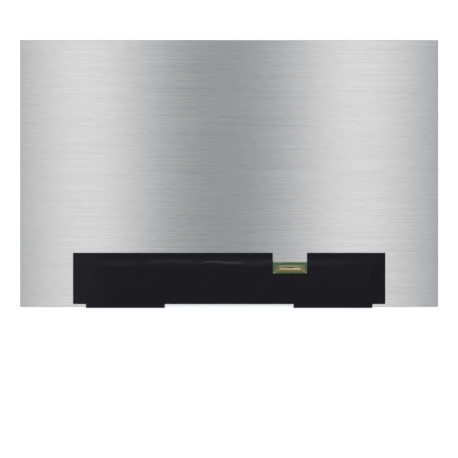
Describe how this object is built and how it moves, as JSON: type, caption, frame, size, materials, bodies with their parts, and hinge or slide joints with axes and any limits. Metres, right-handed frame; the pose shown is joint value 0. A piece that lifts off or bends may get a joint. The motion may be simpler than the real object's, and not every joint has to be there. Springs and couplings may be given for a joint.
{
  "type": "laptop screen panel",
  "caption": "Flat LCD screen module seen from behind: brushed metal rear plate, black cover film over a circuit board, gold edge socket, driver films round the bottom edge.",
  "frame": {"origin": "middle of the module's outline, on the display face that it lies on", "axes": "+X to the right and +Y up as seen from behind, +Z out of the back"},
  "size_m": [0.307, 0.1969, 0.0039],
  "materials": {
    "matt_polariser": "fine anti-glare texture",
    "clear_polariser": "smooth film",
    "cell_glass": "polished, with cut edges",
    "black_tape": "matt",
    "prism_sheet": "fine ridges",
    "diffuser_sheet": "frosted",
    "clear_acrylic": "polished",
    "white_reflector": "matt",
    "amber_flex": "satin film",
    "white_lamp": "moulded",
    "white_frame": "moulded",
    "brushed_plate": "brushed along the long side",
    "green_board": "solder resist over copper",
    "black_chip": "moulded",
    "ferrite": "pressed",
    "tan_ceramic": "fired",
    "dark_ceramic": "glazed",
    "tinned_land": "solder",
    "gold_shell": "thin gold plate, slightly dulled",
    "gold_contact": "gold plate, tinned at the feet",
    "black_insulator": "moulded",
    "silicon_die": "ground",
    "black_cover_film": "satin film, lightly creased"
  },
  "bodies": {
    "root": {"front_polariser": "matt_polariser", "colour_filter_glass": "cell_glass", "array_glass": "cell_glass", "rear_polariser": "clear_polariser", "rim_tape": "black_tape", "upper_prism_sheet": "prism_sheet", "lower_prism_sheet": "prism_sheet", "diffuser_sheet": "diffuser_sheet", "light_guide": "clear_acrylic", "reflector_sheet": "white_reflector", "led_strip": "amber_flex", "led_packages": "white_lamp", "mould_frame": "white_frame", "rear_plate": "brushed_plate", "board_tape": "black_tape", "circuit_board": "green_board", "timing_controller": "black_chip", "power_chip": "black_chip", "backlight_driver": "black_chip", "memory_chip": "black_chip", "power_inductors": "ferrite", "rectifier_diodes": "black_chip", "ceramic_capacitors": "tan_ceramic", "chip_resistors": "dark_ceramic", "solder_lands": "tinned_land", "connector_housing": "black_insulator", "connector_shell": "gold_shell", "connector_contacts": "gold_contact", "driver_film_left": "amber_flex", "driver_film_right": "amber_flex", "driver_chip_left": "silicon_die", "driver_chip_right": "silicon_die", "cover_film": "black_cover_film"}
  },
  "joints": []
}
